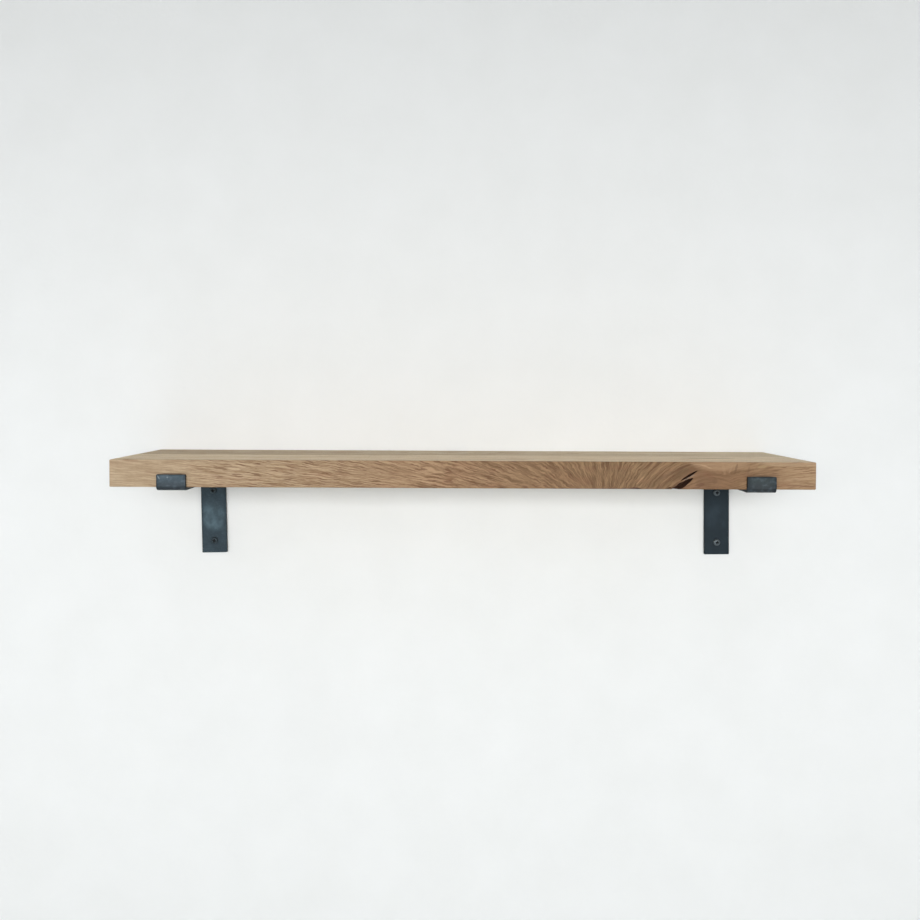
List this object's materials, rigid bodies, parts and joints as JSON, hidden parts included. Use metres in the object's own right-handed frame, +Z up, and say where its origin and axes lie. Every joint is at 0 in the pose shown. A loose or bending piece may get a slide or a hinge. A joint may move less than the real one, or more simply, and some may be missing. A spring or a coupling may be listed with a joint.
{
  "type": "wall shelf",
  "caption": "Straight solid oak wall shelf with square edges, resting on bent flat-bar steel brackets whose front lips hook over the board's edge, screwed to the wall below the board.",
  "frame": {"origin": "on the board's back face where it touches the wall, halfway up the board's edge and midway between the two brackets", "axes": "+X along the shelf to the right for a person facing the wall, +Y into the wall, +Z up; the wall's surface is the plane y = 0"},
  "size_m": [0.9, 0.2505, 0.1534],
  "materials": {
    "front_stave_oak": "oiled, open grain",
    "back_stave_oak": "oiled, open grain",
    "bracket_steel": "blackened mill scale, waxed",
    "screw_steel": "dull zinc",
    "plug_nylon": "moulded"
  },
  "bodies": {
    "root": {"front_stave": "front_stave_oak", "back_stave": "back_stave_oak", "left_bracket": "bracket_steel", "right_bracket": "bracket_steel", "left_upper_wall_screw": "screw_steel", "left_lower_wall_screw": "screw_steel", "right_upper_wall_screw": "screw_steel", "right_lower_wall_screw": "screw_steel", "left_back_board_screw": "screw_steel", "left_front_board_screw": "screw_steel", "right_back_board_screw": "screw_steel", "right_front_board_screw": "screw_steel", "left_upper_wall_plug": "plug_nylon", "left_lower_wall_plug": "plug_nylon", "right_upper_wall_plug": "plug_nylon", "right_lower_wall_plug": "plug_nylon"}
  },
  "joints": []
}
